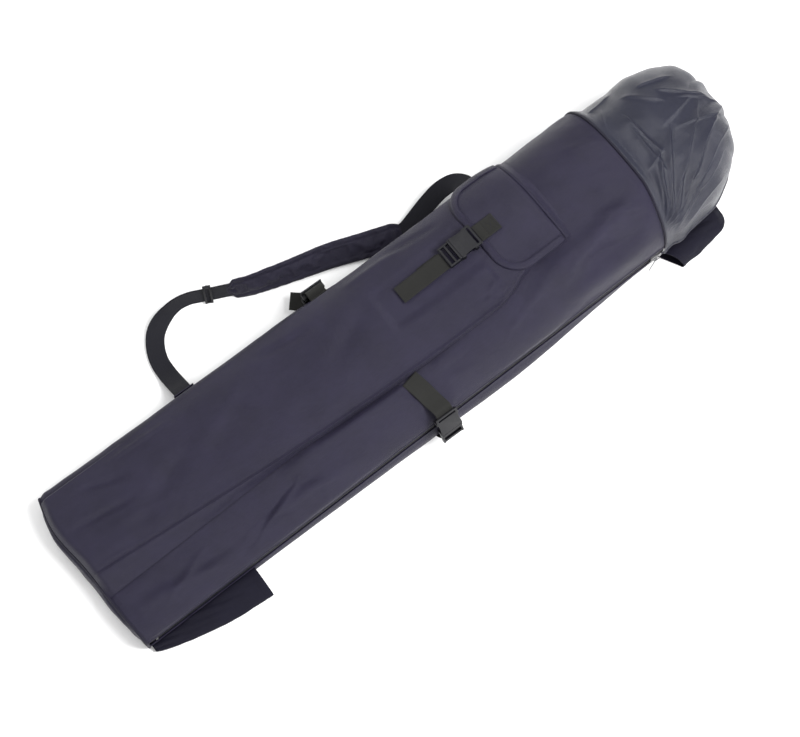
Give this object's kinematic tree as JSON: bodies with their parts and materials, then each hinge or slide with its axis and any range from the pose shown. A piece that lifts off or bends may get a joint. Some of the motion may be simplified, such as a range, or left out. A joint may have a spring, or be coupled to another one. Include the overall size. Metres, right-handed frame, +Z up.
{
  "type": "tubular carry bag",
  "caption": "Long soft tubular carry bag lying flat, with a side zip, hinged hood, flapped pocket, side straps with buckles, pole cup and cap, and a padded shoulder strap.",
  "frame": {"origin": "middle of the flat band of the underside, half way between the base end and the hood's tip", "axes": "+X from the base end to the hood, -Y the zip side, +Z up from the floor that the bag lies on"},
  "size_m": [1.2115, 0.4715, 0.1854],
  "materials": {
    "shell_fabric": "woven 600D polyester, dark navy black",
    "hood_fabric": "thin crinkled nylon with a slight sheen",
    "lining_fabric": "plain woven lining",
    "foam": "closed-cell foam sheet",
    "binding": "folded grosgrain tape",
    "webbing": "flat woven polypropylene",
    "strap_webbing": "flat woven nylon, navy black",
    "buckle_plastic": "moulded acetal, fine satin",
    "zip_metal": "dull tumbled zinc",
    "zip_coil": "nylon coil",
    "zip_tape": "herringbone tape",
    "pad_fabric": "woven polyester over foam"
  },
  "bodies": {
    "bag": {"back_panel": "shell_fabric", "front_panel": "shell_fabric", "base_panel": "shell_fabric", "base_piping": "binding", "base_stiffener": "buckle_plastic", "foam_liner": "foam", "inner_lining": "lining_fabric", "side_seam_piping": "binding", "mouth_binding": "binding", "mouth_scoop": "shell_fabric", "zip_tape_upper": "zip_tape", "zip_tape_lower": "zip_tape", "zip_coil_upper": "zip_coil", "zip_coil_lower": "zip_coil", "zip_stop_top": "zip_metal", "zip_stop_bottom": "zip_metal", "pocket_panel": "shell_fabric", "pocket_gusset": "shell_fabric", "flap_seam": "shell_fabric", "flap_strap_anchor": "webbing", "side_strap_upper": "webbing", "side_buckle_female": "buckle_plastic", "side_strap_lower": "webbing", "far_strap_upper": "webbing", "far_buckle_female": "buckle_plastic", "far_strap_lower": "webbing", "side_cup": "shell_fabric", "side_cap": "shell_fabric", "strap_patch_upper": "shell_fabric", "strap_patch_lower": "shell_fabric"},
    "zip_slider": {"zip_slider": "zip_metal"},
    "zip_pull": {"zip_pull": "zip_metal"},
    "pocket_flap": {"pocket_flap": "shell_fabric", "flap_binding": "binding", "flap_tab": "webbing", "flap_buckle_female": "buckle_plastic"},
    "flap_latch": {"flap_buckle_male": "buckle_plastic", "flap_strap_tail": "webbing"},
    "side_latch": {"side_buckle_male": "buckle_plastic"},
    "far_latch": {"far_buckle_male": "buckle_plastic", "far_strap_tail": "webbing"},
    "hood": {"hood": "hood_fabric", "hood_elastic": "webbing"},
    "shoulder_strap": {"strap_webbing_upper": "strap_webbing", "shoulder_pad": "pad_fabric", "strap_webbing_lower": "strap_webbing"},
    "tri_glide": {"tri_glide": "buckle_plastic"}
  },
  "joints": [
    {"name": "zip_slide", "type": "slide", "parent": "bag", "child": "zip_slider", "axis": [0.9983, 0.011, 0.0568], "range_m": [-0.935, 0]},
    {"name": "zip_pull_swing", "type": "hinge", "parent": "zip_slider", "child": "zip_pull", "pos_m": [0.37104, -0.13473, 0.08029], "axis": [-0.0568, -0.0006, 0.9984], "range_deg": [-18, 155]},
    {"name": "flap_hinge", "type": "hinge", "parent": "bag", "child": "pocket_flap", "pos_m": [0.252, 0.036, 0.1727], "axis": [0, 1, 0], "range_deg": [0, 150]},
    {"name": "flap_buckle_release", "type": "slide", "parent": "bag", "child": "flap_latch", "axis": [-0.9916, -0.001, -0.1295], "range_m": [0, 0.021]},
    {"name": "side_buckle_release", "type": "slide", "parent": "bag", "child": "side_latch", "axis": [0, -0.4305, -0.9026], "range_m": [0, 0.02]},
    {"name": "far_buckle_release", "type": "slide", "parent": "bag", "child": "far_latch", "axis": [0, 0, -1], "range_m": [0, 0.019]},
    {"name": "hood_hinge", "type": "hinge", "parent": "bag", "child": "hood", "pos_m": [0.4013, 0, 0.184], "axis": [0, -1, 0], "range_deg": [0, 90]},
    {"name": "strap_swing", "type": "hinge", "parent": "bag", "child": "shoulder_strap", "pos_m": [0.217, 0.1385, 0.07], "axis": [0.9984, -0.01, 0.0555], "range_deg": [0, 105]},
    {"name": "tri_glide_slide", "type": "slide", "parent": "shoulder_strap", "child": "tri_glide", "axis": [-0.9078, 0.4194, 0.0014], "range_m": [-0.012, 0.014]}
  ]
}
